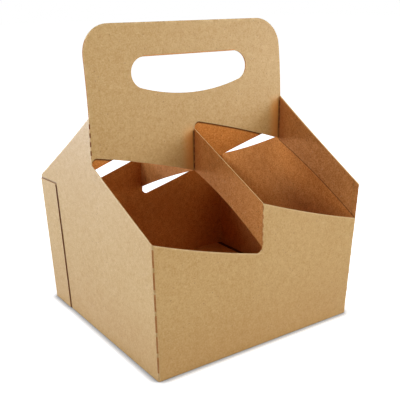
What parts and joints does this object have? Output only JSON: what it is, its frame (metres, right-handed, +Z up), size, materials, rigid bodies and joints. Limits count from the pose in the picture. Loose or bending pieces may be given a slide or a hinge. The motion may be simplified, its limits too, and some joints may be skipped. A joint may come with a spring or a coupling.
{
  "type": "cup carrier",
  "caption": "Folded kraft board carrier for take-away cups, with a central handle, a grip slot, dividing straps and a raised floor.",
  "frame": {"origin": "centre of the footprint, on the surface that the carrier stands on", "axes": "+Z up, +X to the right along the front wall and the handle, +Y to the back"},
  "size_m": [0.1806, 0.1735, 0.2236],
  "materials": {
    "kraft_board": "matt, uncoated"
  },
  "bodies": {
    "root": {"cup_carrier": "kraft_board"}
  },
  "joints": []
}
